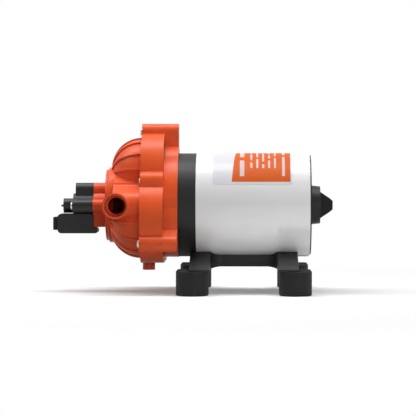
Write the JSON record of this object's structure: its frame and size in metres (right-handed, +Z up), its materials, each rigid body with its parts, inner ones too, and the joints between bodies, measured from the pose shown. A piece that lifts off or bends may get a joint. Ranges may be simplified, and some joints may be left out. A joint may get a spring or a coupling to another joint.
{
  "type": "diaphragm pump",
  "caption": "Motor-driven diaphragm water pump with a ribbed three-lobed head, side ports, pressure switch, round motor can and a saddle on rubber feet.",
  "frame": {"origin": "centre of the four feet, on the surface that the pump stands on", "axes": "+X along the motor axis from the head to the end cap, +Y from the outlet port to the inlet port, +Z up"},
  "size_m": [0.211, 0.1262, 0.1268],
  "materials": {
    "orange_plastic": "satin moulded plastic",
    "black_plastic": "fine matt texture",
    "black_switch_plastic": "satin moulded plastic",
    "white_paint": "satin powder coat",
    "black_rubber": "matt",
    "steel": "plain zinc",
    "black_steel": "blackened",
    "copper": "enamelled wire and copper bars",
    "brass": "plain",
    "magnet": "sintered ferrite",
    "carbon": "sintered carbon",
    "ivory_plastic": "natural acetal",
    "brown_board": "phenolic board",
    "red_plastic": "gloss"
  },
  "bodies": {
    "pump_body": {"upper_housing": "orange_plastic", "lower_housing": "orange_plastic", "valve_plate": "ivory_plastic", "inlet_valves": "black_rubber", "outlet_valve": "black_rubber", "outlet_seal": "black_rubber", "diaphragm": "black_rubber", "tip_screws": "steel", "waist_screws": "steel", "switch_diaphragm": "black_rubber", "switch_cover": "black_switch_plastic", "switch_screws": "steel", "microswitch_case": "black_switch_plastic", "microswitch_body": "black_plastic", "switch_terminals": "brass", "lead_grommet": "black_rubber", "adapter_ring": "black_plastic", "front_bearing": "steel", "motor_can": "white_paint", "magnets": "magnet", "rear_bearing": "steel", "brush_plate": "brown_board", "brushes": "carbon", "brush_springs": "steel", "end_cap": "black_plastic", "cable_boot": "black_rubber", "through_bolts": "steel", "base_saddle": "black_plastic", "base_screws": "steel", "foot_front_left": "black_rubber", "foot_front_right": "black_rubber", "foot_rear_left": "black_rubber", "foot_rear_right": "black_rubber"},
    "armature": {"armature_core": "steel", "armature_windings": "copper", "commutator": "copper", "motor_shaft": "steel", "eccentric_hub": "steel", "hub_set_screw": "black_steel"},
    "wobble_plate": {"wobble_plate": "black_plastic", "wobble_bearing": "steel", "pistons": "black_plastic", "piston_screws": "steel"},
    "switch_plunger": {"switch_plunger": "ivory_plastic", "switch_spring": "steel"},
    "spring_seat": {"spring_seat": "steel"},
    "adjuster_screw": {"adjuster_screw": "black_steel"},
    "switch_button": {"microswitch_button": "red_plastic"}
  },
  "joints": [
    {"name": "armature_spin", "type": "hinge", "parent": "pump_body", "child": "armature", "pos_m": [0, 0, 0.0655], "axis": [1, 0, 0], "continuous": true},
    {"name": "wobble_turn", "type": "hinge", "parent": "armature", "child": "wobble_plate", "pos_m": [-0.053, 0, 0.0655], "axis": [0.9986, 0, 0.0523], "continuous": true},
    {"name": "plunger_slide", "type": "slide", "parent": "pump_body", "child": "switch_plunger", "axis": [-1, 0, 0], "range_m": [0, 0.0012], "stiffness_N_per_m": 400, "deforming": ["switch_spring"]},
    {"name": "button_slide", "type": "slide", "parent": "pump_body", "child": "switch_button", "axis": [-1, 0, 0], "range_m": [0, 0.00096]},
    {"name": "spring_seat_slide", "type": "slide", "parent": "pump_body", "child": "spring_seat", "axis": [1, 0, 0], "range_m": [-0.0008, 0.0008], "deforming": ["switch_spring"]},
    {"name": "adjuster_turn", "type": "hinge", "parent": "spring_seat", "child": "adjuster_screw", "pos_m": [-0.13, 0, 0.0649], "axis": [1, 0, 0], "range_deg": [-360, 360]}
  ],
  "couplings": [
    {"joint": "wobble_turn", "follows": "armature_spin", "ratio": -1},
    {"joint": "button_slide", "follows": "plunger_slide", "ratio": 0.8},
    {"joint": "adjuster_turn", "follows": "spring_seat_slide", "rad_per_m": 7854}
  ]
}
